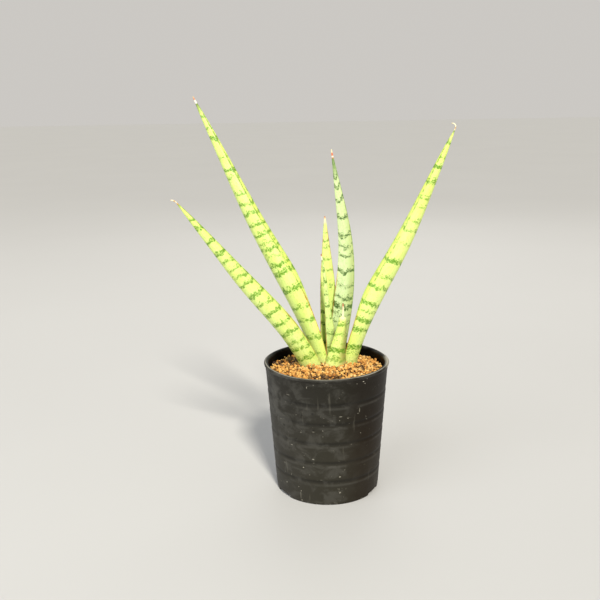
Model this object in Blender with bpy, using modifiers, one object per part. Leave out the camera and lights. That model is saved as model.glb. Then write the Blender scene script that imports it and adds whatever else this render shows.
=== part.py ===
# Small potted snake plant: seven leaves on one crown, in a nursery pot of clay granules.
# Metres, +Z up. The pot stands on z = 0. The front of the plant looks along -Y.

import math

import bmesh
import bpy
import numpy as np
from mathutils import Vector

# ---- driving dimensions -------------------------------------------------------------

RIM_RADIUS = 0.045           # outside of the rolled lip
LIP_WIDTH = 0.0030
LIP_HEIGHT = 0.0030
POT_HEIGHT = 0.096
POT_BASE_RADIUS = 0.0375
POT_TOP_RADIUS = 0.0440      # wall just under the lip
POT_WALL = 0.0010
POT_FLOOR = 0.0014
FOOT_HEIGHT = 0.0030         # the floor stands this far above the table
FOOT_WALL = 0.0022
FOOT_EDGE = 0.0006
BAND_DEPTH = 0.0180          # plain band between the rim and the first groove
BAND_STEP_DEPTH = 0.0060     # the faint step under the lip
BAND_PROUD = 0.0002
BAND_FADE = 0.0010
GROOVE_COUNT = 5
GROOVE_PITCH = 0.0146
GROOVE_DEPTH = 0.0004
GROOVE_HALF_HEIGHT = 0.0012
TURN_STEPS = 60

NOTCH_COUNT = 3              # drainage notches in the foot ring
NOTCH_WIDTH = 0.0150
NOTCH_HEIGHT = 0.0022
NOTCH_ANGLE = math.radians(-27)
HOLE_COUNT = 6               # drain holes in the floor, and one in the middle
HOLE_RADIUS = 0.0035
HOLE_CIRCLE = 0.0230

GAP = 0.0003                 # between touching pieces
STONES_DEPTH = 0.0120        # coarse layer on the floor
MIX_TOP = 0.0825             # top of the mix, under the dressing
DRESSING_EDGE = 0.0885       # surface of the granules at the wall
DRESSING_CROWN = 0.0920      # surface of the granules at the plant
MOUND_TOP_RADIUS = 0.0135    # the flat top of the mound, and where its slope eases
MOUND_EASE_RADIUS = 0.0220
MOUND_EASE_DROP = 0.0012

CROWN_CENTRE = Vector((0.0030, 0.0110, 0.0745))
CROWN_RADII = Vector((0.0150, 0.0110, 0.0080))
ROOT_COUNT = 6
ROOT_STEPS = 8
ROOT_RADIUS = 0.0016
ROOT_TIP_SHARE = 0.5         # of the radius at the crown
ROOT_DROP = 0.0280
ROOT_SPREAD = 0.0140
ROOT_START = Vector((0.006, 0.0, -0.004))
ROOT_BEND = math.radians(75)

LEAF_START = 0.0910          # height at which a leaf's length and stations begin
LEAF_FLOOR = 0.0828          # leaves end here, just above the crown
LEAF_RINGS = 26
SECTION_POINTS = 16
TIP_WIDTH = 0.0007
WIDTH_STATIONS = (0.0, 0.25, 0.5, 0.75, 0.94, 1.0)
LEAN_STATIONS = (0.0, 1 / 3, 2 / 3, 1.0)

# One row per leaf, from the youngest to the oldest:
#   base     x and y where the middle of the leaf leaves the surface, mm
#   faces    direction that the channel faces, degrees from +X towards +Y
#   length   from the surface to the tip, mm
#   right    lean towards +X at the four lean stations, degrees
#   back     lean towards +Y at the surface and at the tip, degrees
#   widths   across the leaf at the first five width stations, mm
#   depth    outer bulge at the base and higher up, as a share of half the width
#   channel  depth of the channel at the base, and higher up, where minus is a round back
#   opens    share of the length over which the channel closes
LEAVES = {
    "leaf_inner_small": dict(
        base=(3, 15), faces=-75, length=79, right=(5, -6, -4, -11), back=(3, 5),
        widths=(7, 7, 4.25, 2.5, 1), depth=(0.7, 0.8), channel=(0.1, -0.6), opens=0.5),
    "leaf_back_small": dict(
        base=(0.5, 23), faces=-85, length=105, right=(7, -1, -2, -2), back=(9, 12),
        widths=(12, 12.75, 11.25, 6.5, 2.25), depth=(0.5, 0.6), channel=(0.2, -0.3), opens=0.8),
    "leaf_centre_tall": dict(
        base=(8, 19), faces=-103, length=155, right=(6, 6, -8, -9), back=(6, 13),
        widths=(10.5, 14.25, 11.5, 6.75, 2), depth=(0.7, 0.75), channel=(0.35, -0.3), opens=0.8),
    "leaf_left_tall": dict(
        base=(-2, 14), faces=28, length=213, right=(-14, -29, -26, -27), back=(4, 8),
        widths=(15.75, 19.5, 15.25, 9, 3.25), depth=(0.9, 0.95), channel=(0.4, -0.7), opens=0.36),
    "leaf_right_tall": dict(
        base=(16, 12.2), faces=150, length=183, right=(12, 29, 25, 25), back=(3, 7),
        widths=(15, 17, 14.5, 9, 3.5), depth=(0.9, 0.95), channel=(0.4, -0.75), opens=0.32),
    "leaf_front_short": dict(
        base=(7, 3.5), faces=93, length=47, right=(2, 11, 7, -3), back=(-3, -4),
        widths=(15.75, 11.75, 8.25, 5.25, 2.25), depth=(0.65, 0.85), channel=(0.1, -0.8), opens=0.5),
    "leaf_left_low": dict(
        base=(-11.5, 5.5), faces=70, length=154, right=(-23, -38, -36, -37), back=(-14, -16),
        widths=(15.5, 15, 12.75, 7.5, 2.75), depth=(0.85, 0.9), channel=(0.3, -0.75), opens=0.26),
}

# colour, roughness
FINISHES = {
    "black_plastic": ((0.030, 0.029, 0.026), 0.45),
    "clay_granules": ((0.62, 0.34, 0.13), 0.95),
    "dark_mix": ((0.075, 0.048, 0.030), 1.0),
    "pumice": ((0.55, 0.52, 0.45), 0.95),
    "pale_root": ((0.62, 0.42, 0.20), 0.8),
    "lime_leaf": ((0.52, 0.68, 0.20), 0.4),
    "grey_leaf": ((0.47, 0.58, 0.33), 0.4),
}


# ---- scene and helpers ----------------------------------------------------------------

def clear_scene():
    for old in list(bpy.data.objects):
        bpy.data.objects.remove(old, do_unlink=True)


def make_collection(name):
    collection = bpy.data.collections.new(name)
    bpy.context.scene.collection.children.link(collection)
    return collection


def material(name):
    colour, roughness = FINISHES[name]
    found = bpy.data.materials.get(name)
    if found:
        return found
    made = bpy.data.materials.new(name)
    made.use_nodes = True
    shader = made.node_tree.nodes["Principled BSDF"]
    shader.inputs["Base Color"].default_value = (*colour, 1.0)
    shader.inputs["Roughness"].default_value = roughness
    shader.inputs["Metallic"].default_value = 0.0
    return made


def new_object(name, mesh, collection, finish=None):
    obj = bpy.data.objects.new(name, mesh)
    collection.objects.link(obj)
    if finish:
        mesh.materials.append(material(finish))
    return obj


def mesh_from(bm, name):
    bmesh.ops.recalc_face_normals(bm, faces=bm.faces)
    mesh = bpy.data.meshes.new(name)
    bm.to_mesh(mesh)
    bm.free()
    return mesh


def smooth(mesh, angle=math.radians(35)):
    mesh.shade_smooth()
    mesh.set_sharp_from_angle(angle=angle)


def as_cutter(obj):
    obj.hide_render = True
    obj.display_type = "WIRE"
    return obj


def cut(target, cutter):
    """Keep what is outside the cutter."""
    step = target.modifiers.new("cut_" + cutter.name, "BOOLEAN")
    step.operation = "DIFFERENCE"
    step.solver = "EXACT"
    step.object = cutter


def join(target, addition):
    step = target.modifiers.new("join_" + addition.name, "BOOLEAN")
    step.operation = "UNION"
    step.solver = "EXACT"
    step.object = addition


def turned(name, profile, collection, finish=None):
    """A solid turned from (radius, height) points that run down its outer side."""
    mesh = bpy.data.meshes.new(name)
    points = [(radius, 0.0, height) for radius, height in profile]
    edges = [(i, i + 1) for i in range(len(points) - 1)]
    mesh.from_pydata(points, edges, [])
    obj = new_object(name, mesh, collection, finish)
    screw = obj.modifiers.new("turn", "SCREW")
    screw.axis = "Z"
    screw.angle = math.tau
    screw.steps = TURN_STEPS
    screw.render_steps = TURN_STEPS
    screw.use_merge_vertices = True
    screw.merge_threshold = 0.00001
    screw.use_smooth_shade = True
    return obj


def cylinder(name, radius, low, high, centre, collection):
    bm = bmesh.new()
    bmesh.ops.create_cone(bm, cap_ends=True, segments=24, radius1=radius, radius2=radius, depth=high - low)
    bmesh.ops.translate(bm, verts=bm.verts, vec=(centre[0], centre[1], (low + high) / 2))
    return new_object(name, mesh_from(bm, name), collection)


# ---- pot ------------------------------------------------------------------------------

def wall_radius(height):
    """Outside of the tapered wall, without its grooves."""
    share = height / (POT_HEIGHT - LIP_HEIGHT)
    return POT_BASE_RADIUS + (POT_TOP_RADIUS - POT_BASE_RADIUS) * share


def inside_radius(height):
    return wall_radius(height) - POT_WALL


def lip_points():
    """The rolled lip in section, from the inside over the top to the outside."""
    middle = RIM_RADIUS - LIP_WIDTH / 2
    centre_height = POT_HEIGHT - LIP_HEIGHT / 2
    points = []
    for step in range(9):
        turn = math.radians(200 - step * 245 / 8)
        across = middle + LIP_WIDTH / 2 * math.cos(turn)
        points.append((across, centre_height + LIP_HEIGHT / 2 * math.sin(turn)))
    return points


def groove_points():
    """The grooves in the outer wall, from the top one down."""
    points = []
    for number in range(GROOVE_COUNT):
        height = POT_HEIGHT - BAND_DEPTH - GROOVE_HALF_HEIGHT - number * GROOVE_PITCH
        upper = height + GROOVE_HALF_HEIGHT
        lower = height - GROOVE_HALF_HEIGHT
        points.append((wall_radius(upper), upper))
        points.append((wall_radius(height) - GROOVE_DEPTH, height))
        points.append((wall_radius(lower), lower))
    return points


def make_pot(parts, cutters):
    floor_top = FOOT_HEIGHT + POT_FLOOR
    inner_floor = inside_radius(floor_top)
    inner_neck = inside_radius(POT_HEIGHT - LIP_HEIGHT)
    band_step = POT_HEIGHT - BAND_STEP_DEPTH
    profile = [(0.0, floor_top), (inner_floor, floor_top), (inner_neck, POT_HEIGHT - LIP_HEIGHT)]
    profile += lip_points()
    profile.append((wall_radius(band_step) + BAND_PROUD, band_step))
    profile.append((wall_radius(band_step - BAND_FADE), band_step - BAND_FADE))
    profile += groove_points()
    profile += [
        (POT_BASE_RADIUS, FOOT_EDGE),
        (POT_BASE_RADIUS - FOOT_EDGE, 0.0),
        (POT_BASE_RADIUS - FOOT_WALL, 0.0),
        (POT_BASE_RADIUS - FOOT_WALL, FOOT_HEIGHT),
        (0.0, FOOT_HEIGHT),
    ]
    pot = turned("pot", profile, parts, "black_plastic")
    for number in range(NOTCH_COUNT):
        turn = NOTCH_ANGLE + number * math.tau / NOTCH_COUNT
        bm = bmesh.new()
        bmesh.ops.create_cube(bm, size=1.0)
        bmesh.ops.scale(bm, verts=bm.verts, vec=(4 * FOOT_WALL, NOTCH_WIDTH, 2 * NOTCH_HEIGHT))
        notch = new_object(f"notch_cutter_{number}", mesh_from(bm, f"notch_cutter_{number}"), cutters)
        notch.location = (POT_BASE_RADIUS * math.cos(turn), POT_BASE_RADIUS * math.sin(turn), 0.0)
        notch.rotation_euler = (0.0, 0.0, turn)
        cut(pot, as_cutter(notch))
    centres = [(0.0, 0.0)]
    for number in range(HOLE_COUNT):
        turn = number * math.tau / HOLE_COUNT
        centres.append((HOLE_CIRCLE * math.cos(turn), HOLE_CIRCLE * math.sin(turn)))
    for number, centre in enumerate(centres):
        name = f"hole_cutter_{number}"
        hole = cylinder(name, HOLE_RADIUS, FOOT_HEIGHT - 0.001, floor_top + 0.001, centre, cutters)
        cut(pot, as_cutter(hole))
    return pot


# ---- what the pot holds -----------------------------------------------------------------

def filling(name, low, high, finish, parts, crown=None):
    """A turned layer that fills the pot between two heights, mounded if it has a crown height."""
    profile = [(0.0, crown or high)]
    if crown:
        profile.append((MOUND_TOP_RADIUS, crown))
        profile.append((MOUND_EASE_RADIUS, crown - MOUND_EASE_DROP))
    profile.append((inside_radius(high) - GAP, high))
    profile.append((inside_radius(low) - GAP, low))
    profile.append((0.0, low))
    return turned(name, profile, parts, finish)


def root_path(number):
    """A root's middle line, out of the crown, then down."""
    turn = (number + 0.4) * math.tau / ROOT_COUNT
    out = Vector((math.cos(turn), math.sin(turn), 0.0))
    drop = ROOT_DROP * (1.0 + 0.2 * math.sin(3.0 * number))
    points = []
    for step in range(ROOT_STEPS + 1):
        bend = ROOT_BEND * step / ROOT_STEPS
        away = ROOT_START.x + ROOT_SPREAD * math.sin(bend)
        down = ROOT_START.z - drop * (1 - math.cos(bend))
        points.append(CROWN_CENTRE + out * away + Vector((0, 0, down)))
    return points


def root_mesh(name, number, grow):
    """A tapered tube along the root's middle line."""
    path = root_path(number)
    bm = bmesh.new()
    bmesh.ops.create_circle(bm, cap_ends=True, segments=8, radius=1.0)
    end = bm.faces[:][0]
    for step, point in enumerate(path):
        before = path[max(step - 1, 0)]
        after = path[min(step + 1, ROOT_STEPS)]
        along = (after - before).normalized()
        across = along.cross(Vector((0, 0, 1))).normalized()
        up = across.cross(along)
        radius = ROOT_RADIUS * (1.0 - (1.0 - ROOT_TIP_SHARE) * step / ROOT_STEPS) + grow
        lift = grow if step == ROOT_STEPS else 0.0
        if step:
            end = bmesh.ops.extrude_discrete_faces(bm, faces=[end])["faces"][0]
        for index, vert in enumerate(end.verts):
            turn = index * math.tau / len(end.verts)
            vert.co = point + (across * math.cos(turn) + up * math.sin(turn)) * radius + along * lift
    bmesh.ops.holes_fill(bm, edges=bm.edges)
    return mesh_from(bm, name)


def make_crown(name, grow, collection, finish=None):
    """The crown joined with its roots, or the space that they need when grow is more than 0."""
    bm = bmesh.new()
    bmesh.ops.create_icosphere(bm, subdivisions=3, radius=1.0)
    bmesh.ops.scale(bm, verts=bm.verts, vec=CROWN_RADII + Vector((grow, grow, grow)))
    bmesh.ops.translate(bm, verts=bm.verts, vec=CROWN_CENTRE)
    crown = new_object(name, mesh_from(bm, name), collection, finish)
    for number in range(ROOT_COUNT):
        root_name = f"{name}_root_{number}"
        root = new_object(root_name, root_mesh(root_name, number, grow), cutters_collection)
        join(crown, as_cutter(root))
    return crown


# ---- leaves -------------------------------------------------------------------------------

def through(stations, values, share):
    """Smooth curve through a few values, with the slope at each taken from its neighbours."""
    slopes = np.gradient(np.array(values, float), np.array(stations, float))
    last = len(stations) - 2
    left = 0
    while left < last and share >= stations[left + 1]:
        left += 1
    span = stations[left + 1] - stations[left]
    t = (share - stations[left]) / span
    start = (2 * t ** 3 - 3 * t ** 2 + 1) * values[left] + (t ** 3 - 2 * t ** 2 + t) * span * slopes[left]
    finish = (3 * t ** 2 - 2 * t ** 3) * values[left + 1] + (t ** 3 - t ** 2) * span * slopes[left + 1]
    return float(start + finish)


def ease(share):
    share = min(max(share, 0.0), 1.0)
    return share * share * (3 - 2 * share)


def leaf_direction(leaf, share):
    share = max(share, 0.0)
    right = math.radians(through(LEAN_STATIONS, leaf["right"], share))
    back = math.radians(leaf["back"][0] + (leaf["back"][1] - leaf["back"][0]) * share)
    return Vector((math.tan(right), math.tan(back), 1.0)).normalized()


def leaf_line(leaf):
    """Shares of the length and points along the middle of the leaf, from the crown to the tip."""
    length = leaf["length"] / 1000
    steps = 8 * (LEAF_RINGS - 1)
    start = Vector((leaf["base"][0] / 1000, leaf["base"][1] / 1000, LEAF_START))
    line = [start]
    for step in range(steps):
        line.append(line[-1] + leaf_direction(leaf, (step + 0.5) / steps) * length / steps)
    below = 2 * (LEAF_START - LEAF_FLOOR)
    shares = [-below / length]
    points = [start - leaf_direction(leaf, 0.0) * below]
    for ring in range(LEAF_RINGS):
        share = ring / (LEAF_RINGS - 1)
        shares.append(share)
        points.append(line[round(share * steps)])
    return shares, points


def leaf_section(leaf, share, grow):
    """Points round the leaf, as pairs: across the leaf, and towards the channel."""
    inside = max(share, 0.0)
    widths = [width / 1000 for width in leaf["widths"]] + [TIP_WIDTH]
    half = max(through(WIDTH_STATIONS, widths, inside), TIP_WIDTH) / 2
    closed = ease(inside / leaf["opens"])
    outer = half * (leaf["depth"][0] + (leaf["depth"][1] - leaf["depth"][0]) * closed)
    inner = half * (leaf["channel"][0] + (leaf["channel"][1] - leaf["channel"][0]) * closed)
    section = []
    for index in range(SECTION_POINTS):
        turn = index * math.tau / SECTION_POINTS
        if index in (0, SECTION_POINTS // 2):
            section.append(((half + grow) * math.cos(turn), 2 * grow))  # the two margins
        elif index < SECTION_POINTS // 2:
            section.append(((half + grow) * math.cos(turn), -(outer + grow) * math.sin(turn)))
        else:
            section.append((half * math.cos(turn), grow + inner * math.sin(turn)))
    return section


def leaf_mesh(name, leaf, grow=0.0):
    """A loft from the channelled base, through the round middle, to the needle tip."""
    faces = math.radians(leaf["faces"])
    towards = Vector((math.cos(faces), math.sin(faces), 0.0))
    shares, points = leaf_line(leaf)
    bm = bmesh.new()
    bmesh.ops.create_circle(bm, cap_ends=True, segments=SECTION_POINTS, radius=1.0)
    end = bm.faces[:][0]
    last = len(shares) - 1
    for ring, (share, point) in enumerate(zip(shares, points)):
        along = leaf_direction(leaf, share)
        inward = (towards - along * towards.dot(along)).normalized()
        across = along.cross(inward)
        lift = grow * {0: -1, last: 1}.get(ring, 0)
        if ring:
            end = bmesh.ops.extrude_discrete_faces(bm, faces=[end])["faces"][0]
        for vert, (side, deep) in zip(end.verts, leaf_section(leaf, share, grow)):
            vert.co = point + across * side + inward * deep + along * lift
    whole = bm.verts[:] + bm.edges[:] + bm.faces[:]
    low_end = (0.0, 0.0, LEAF_FLOOR - grow)
    bmesh.ops.bisect_plane(bm, geom=whole, plane_co=low_end, plane_no=(0, 0, 1), clear_inner=True)
    bmesh.ops.holes_fill(bm, edges=bm.edges)
    mesh = mesh_from(bm, name)
    smooth(mesh)
    return mesh


def make_leaves(parts, cutters):
    """The leaves, and the spaces that they need in what they pass through."""
    spaces = []
    for name, leaf in LEAVES.items():
        finish = "grey_leaf" if name == "leaf_centre_tall" else "lime_leaf"
        new_object(name, leaf_mesh(name, leaf), parts, finish)
        space_name = "space_" + name
        spaces.append(as_cutter(new_object(space_name, leaf_mesh(space_name, leaf, GAP), cutters)))
    return spaces


# ---- the whole plant ------------------------------------------------------------------------

def centre_on_origin(parts):
    """Moves everything so that the middle of the plant's box stands over the origin."""
    bpy.context.view_layer.update()
    corners = []
    for obj in parts.objects:
        corners += [obj.matrix_world @ Vector(corner) for corner in obj.bound_box]
    low = Vector([min(corner[axis] for corner in corners) for axis in range(3)])
    high = Vector([max(corner[axis] for corner in corners) for axis in range(3)])
    frame = bpy.data.objects.new("plant_frame", None)
    bpy.context.scene.collection.objects.link(frame)
    for obj in list(parts.objects) + list(cutters_collection.objects):
        obj.parent = frame
    frame.location = (-(low.x + high.x) / 2, -(low.y + high.y) / 2, 0.0)


clear_scene()
parts_collection = make_collection("small_potted_snake_plant")
cutters_collection = make_collection("cutters")

make_pot(parts_collection, cutters_collection)
floor = FOOT_HEIGHT + POT_FLOOR
filling("drainage_layer", floor + GAP, floor + STONES_DEPTH, "pumice", parts_collection)
mix = filling("potting_mix", floor + STONES_DEPTH + GAP, MIX_TOP, "dark_mix", parts_collection)
dressing = filling(
    "top_dressing", MIX_TOP + GAP, DRESSING_EDGE, "clay_granules", parts_collection, DRESSING_CROWN)

make_crown("rhizome", 0.0, parts_collection, "pale_root")
crown_space = as_cutter(make_crown("space_rhizome", GAP, cutters_collection))
cut(mix, crown_space)

for space in make_leaves(parts_collection, cutters_collection):
    cut(dressing, space)

centre_on_origin(parts_collection)
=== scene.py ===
import math

import bpy
import numpy as np
from mathutils import Euler, Matrix, Vector


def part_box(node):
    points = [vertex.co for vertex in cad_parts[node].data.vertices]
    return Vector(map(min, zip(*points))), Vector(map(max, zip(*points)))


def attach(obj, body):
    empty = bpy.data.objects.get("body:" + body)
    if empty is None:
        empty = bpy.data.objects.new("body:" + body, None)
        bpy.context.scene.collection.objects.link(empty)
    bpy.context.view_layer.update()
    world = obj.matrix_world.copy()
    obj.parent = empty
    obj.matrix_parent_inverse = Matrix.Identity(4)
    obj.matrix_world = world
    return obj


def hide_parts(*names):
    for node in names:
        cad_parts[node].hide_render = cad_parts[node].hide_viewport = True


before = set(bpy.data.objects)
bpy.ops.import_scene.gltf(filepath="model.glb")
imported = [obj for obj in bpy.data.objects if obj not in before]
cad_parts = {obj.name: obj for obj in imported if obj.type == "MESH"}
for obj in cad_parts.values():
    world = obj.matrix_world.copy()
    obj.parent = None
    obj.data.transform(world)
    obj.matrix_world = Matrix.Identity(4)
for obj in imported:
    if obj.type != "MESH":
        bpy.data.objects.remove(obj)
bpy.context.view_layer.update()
potLow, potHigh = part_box("pot")
axisX = (potLow[0] + potHigh[0]) / 2
axisY = (potLow[1] + potHigh[1]) / 2
print("frame loaded,", len(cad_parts), "nodes, pot axis at", round(axisX, 5), round(axisY, 5))


# camera and lights

# the camera's place and turns were fitted by another program, for a given lens
viewSettings = {
    "lens": 48.0,
    "sensor": 36.0,
    "place": (0.0, -0.5515, 0.2759),     # from the pot axis, metres
    "downward": 13.81,
    "sideways": 1.90,
    "roll": -0.98,
}

cameraData = bpy.data.cameras.new("plantCamera")
cameraData.lens = viewSettings["lens"]
cameraData.sensor_width = viewSettings["sensor"]
cameraData.clip_start = 0.01
camera = bpy.data.objects.new("plantCamera", cameraData)
bpy.context.scene.collection.objects.link(camera)
cameraPlace = Vector(viewSettings["place"]) + Vector((axisX, axisY, 0.0))
cameraTurn = Euler((math.radians(90 - viewSettings["downward"]), 0.0, math.radians(viewSettings["sideways"])))
camera.matrix_world = (
    Matrix.Translation(cameraPlace)
    @ cameraTurn.to_matrix().to_4x4()
    @ Matrix.Rotation(math.radians(viewSettings["roll"]), 4, "Z")
)
bpy.context.scene.camera = camera
bpy.context.scene.view_settings.view_transform = "Standard"

lightSettings = {
    "key": dict(kind="SUN", place=(0.27, -1.0, 1.05), spread=9.0, power=4.0, colour=(1.0, 0.955, 0.86)),
    "fill": dict(kind="AREA", place=(-0.95, -0.95, 0.85), spread=1.6, power=13.0, colour=(0.93, 0.96, 1.0)),
    "back": dict(kind="AREA", place=(0.15, 1.0, 0.95), spread=1.2, power=3.0, colour=(1.0, 1.0, 1.0)),
    "world": (0.80, 0.81, 0.83),
    "worldStrength": 0.40,
    "horizon": (0.60, 0.58, 0.55),
}


def addLight(name, kind, place, spread, power, colour):
    light = bpy.data.lights.new(name, kind)
    if kind == "SUN":
        light.angle = math.radians(spread)
    else:
        light.shape = "DISK"
        light.size = spread
    light.energy = power
    light.color = colour
    lamp = bpy.data.objects.new(name, light)
    bpy.context.scene.collection.objects.link(lamp)
    aim = Vector((axisX, axisY, 0.12))
    spot = Vector(place)
    lamp.matrix_world = Matrix.Translation(spot) @ (aim - spot).to_track_quat("-Z", "Y").to_matrix().to_4x4()


for lightName in ("key", "fill", "back"):
    addLight(lightName + "Light", **lightSettings[lightName])

world = bpy.data.worlds.new("studioWorld")
world.use_nodes = True
worldNodes = world.node_tree.nodes
worldNodes["Background"].inputs["Color"].default_value = (*lightSettings["world"], 1.0)
worldNodes["Background"].inputs["Strength"].default_value = lightSettings["worldStrength"]
horizon = worldNodes.new("ShaderNodeBackground")
horizon.inputs["Color"].default_value = (*lightSettings["horizon"], 1.0)
seen = worldNodes.new("ShaderNodeLightPath")
either = worldNodes.new("ShaderNodeMixShader")
world.node_tree.links.new(seen.outputs["Is Camera Ray"], either.inputs[0])
world.node_tree.links.new(worldNodes["Background"].outputs[0], either.inputs[1])
world.node_tree.links.new(horizon.outputs[0], either.inputs[2])
world.node_tree.links.new(either.outputs[0], worldNodes["World Output"].inputs["Surface"])
bpy.context.scene.world = world


# node helpers

def newFinish(name):
    finish = bpy.data.materials.new(name)
    finish.use_nodes = True
    return finish, finish.node_tree, finish.node_tree.nodes["Principled BSDF"]


def feed(tree, socket, value):
    if isinstance(value, bpy.types.NodeSocket):
        tree.links.new(value, socket)
    elif hasattr(value, "__len__") and len(value) == 3 and len(socket.default_value) == 4:
        socket.default_value = (*value, 1.0)
    else:
        socket.default_value = value


def put(tree, kind, inputs=None, **settings):
    node = tree.nodes.new("ShaderNode" + kind)
    for setting, value in settings.items():
        setattr(node, setting, value)
    for socket, value in (inputs or {}).items():
        feed(tree, node.inputs[socket], value)
    return node


def maths(tree, operation, *values, clamp=False):
    node = put(tree, "Math", operation=operation, use_clamp=clamp)
    for number, value in enumerate(values):
        feed(tree, node.inputs[number], value)
    return node.outputs[0]


def times(tree, first, second, clamp=False):
    return maths(tree, "MULTIPLY", first, second, clamp=clamp)


def scaled(tree, value, factor, added, clamp=False):
    return maths(tree, "MULTIPLY_ADD", value, factor, added, clamp=clamp)


def plus(tree, first, second):
    return maths(tree, "ADD", first, second)


def minus(tree, first, second):
    return maths(tree, "SUBTRACT", first, second)


def larger(tree, first, second):
    return maths(tree, "MAXIMUM", first, second)


def sizeOf(tree, value):
    return maths(tree, "ABSOLUTE", value)


def mix(tree, amount, first, second, way="MIX"):
    node = put(tree, "Mix", data_type="RGBA", blend_type=way)
    feed(tree, node.inputs[0], amount)
    feed(tree, node.inputs[6], first)
    feed(tree, node.inputs[7], second)
    return node.outputs[2]


def layered(tree, colour, amount, strength, layer):
    return mix(tree, times(tree, amount, strength), colour, layer)


def noise(tree, vector, scale, detail=2.0, roughness=0.5, distortion=0.0):
    inputs = {"Vector": vector, "Scale": scale, "Detail": detail}
    inputs.update({"Roughness": roughness, "Distortion": distortion})
    return put(tree, "TexNoise", inputs).outputs[0]


def between(tree, value, low, high):
    inputs = {"Value": value, "From Min": low, "From Max": high}
    return put(tree, "MapRange", inputs, interpolation_type="SMOOTHSTEP").outputs[0]


def stretched(tree, vector, scale, move=(0.0, 0.0, 0.0)):
    return put(tree, "Mapping", {"Vector": vector, "Scale": scale, "Location": move}).outputs[0]


def parts(tree, vector):
    return put(tree, "SeparateXYZ", {"Vector": vector}).outputs


def colourRamp(tree, value, stops):
    ramp = put(tree, "ValToRGB", {"Fac": value})
    elements = ramp.color_ramp.elements
    while len(elements) < len(stops):
        elements.new(0.5)
    for element, (where, shade, *amount) in zip(elements, stops):
        element.position = where
        element.color = (*shade, *(amount or [1.0]))
    return ramp.outputs


def attribute(tree, name):
    return put(tree, "Attribute", attribute_name=name).outputs["Vector"]


def bump(tree, height, strength, distance, under=None):
    inputs = {"Height": height, "Strength": strength, "Distance": distance}
    if under is not None:
        inputs["Normal"] = under
    return put(tree, "Bump", inputs).outputs[0]


# piece helpers

def deselectAll():
    bpy.ops.object.select_all(action="DESELECT")


def named(name):
    piece = bpy.context.object
    piece.name = name
    piece.data.name = name
    return piece


def pointsOf(mesh):
    found = np.empty(len(mesh.vertices) * 3)
    mesh.vertices.foreach_get("co", found)
    return found.reshape(-1, 3)


def movePoints(mesh, points):
    mesh.vertices.foreach_set("co", np.ascontiguousarray(points, float).ravel())
    mesh.update()


def vectorField(mesh, name, values):
    field = mesh.attributes.new(name, "FLOAT_VECTOR", "POINT")
    field.data.foreach_set("vector", np.ascontiguousarray(values, float).ravel())


def finishPiece(piece, finish, slotName, *nodes):
    piece.data.materials.clear()
    piece.data.materials.append(finish)
    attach(piece, "root")
    if nodes:
        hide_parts(*nodes)


def smoothed(piece, degrees):
    deselectAll()
    piece.select_set(True)
    bpy.context.view_layer.objects.active = piece
    bpy.ops.object.shade_smooth_by_angle(angle=math.radians(degrees))


def turnedPiece(name, profile, steps):
    deselectAll()
    bpy.ops.mesh.primitive_circle_add(vertices=len(profile), radius=0.05)
    piece = named(name)
    points = np.array([(axisX + radius, axisY, height) for radius, height in profile])
    movePoints(piece.data, points)
    bpy.ops.object.mode_set(mode="EDIT")
    bpy.ops.mesh.select_mode(type="EDGE")
    bpy.ops.mesh.select_all(action="DESELECT")
    bpy.ops.object.mode_set(mode="OBJECT")
    last = len(profile) - 1
    for edge in piece.data.edges:
        edge.select = sorted(edge.vertices) == [0, last]
    bpy.ops.object.mode_set(mode="EDIT")
    bpy.ops.mesh.delete(type="EDGE")
    bpy.ops.mesh.select_mode(type="VERT")
    bpy.ops.mesh.select_all(action="SELECT")
    bpy.ops.mesh.spin(steps=steps, angle=math.tau, center=(axisX, axisY, 0.0), axis=(0.0, 0.0, 1.0))
    bpy.ops.mesh.select_all(action="SELECT")
    bpy.ops.mesh.remove_doubles(threshold=0.000004)
    bpy.ops.mesh.normals_make_consistent(inside=False)
    bpy.ops.object.mode_set(mode="OBJECT")
    return piece


# floor

floorSettings = {"size": 24.0, "colour": (0.55, 0.545, 0.53), "shade": (0.52, 0.515, 0.50)}
deselectAll()
bpy.ops.mesh.primitive_grid_add(x_subdivisions=8, y_subdivisions=8, size=floorSettings["size"])
floor = named("studioFloor")
floorFinish, floorTree, floorShader = newFinish("paleFloor")
floorPlace = put(floorTree, "TexCoord").outputs["Object"]
floorShade = noise(floorTree, floorPlace, 3.0, 3.0)
floorColour = mix(floorTree, floorShade, floorSettings["colour"], floorSettings["shade"])
feed(floorTree, floorShader.inputs["Base Color"], floorColour)
floorShader.inputs["Roughness"].default_value = 0.6
floor.data.materials.append(floorFinish)
print("floor, lights and camera placed")


# pot

# the height and the base came from the camera's fit, rounded
potShape = {
    "height": 0.096,
    "baseRadius": 0.0375,
    "neckRadius": 0.0440,
    "rimRadius": 0.045,
    "lipWidth": 0.0030,
    "lipHeight": 0.0026,
    "wall": 0.0010,
    "floor": 0.0014,
    "foot": 0.0030,
    "footWall": 0.0022,
    "footEdge": 0.0006,
    "grooves": (0.0768, 0.0622, 0.0476, 0.0330, 0.0184),
    "grooveDepth": 0.00028,
    "ridgeHeight": 0.00008,
    "notches": (-27.0, 93.0, 213.0),
    "notchWidth": 0.0150,
    "notchHeight": 0.0022,
    "holeRadius": 0.0035,
    "holeCircle": 0.0230,
    "steps": 168,
}


def wallRadius(height):
    share = height / (potShape["height"] - potShape["lipHeight"])
    return potShape["baseRadius"] + (potShape["neckRadius"] - potShape["baseRadius"]) * share


def grooved(height):
    radius = wallRadius(height)
    for middle in potShape["grooves"]:
        radius -= potShape["grooveDepth"] * math.exp(-(((height - middle) / 0.0011) ** 2))
        radius += potShape["ridgeHeight"] * math.exp(-(((height - middle + 0.0024) / 0.0011) ** 2))
    return radius


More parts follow.
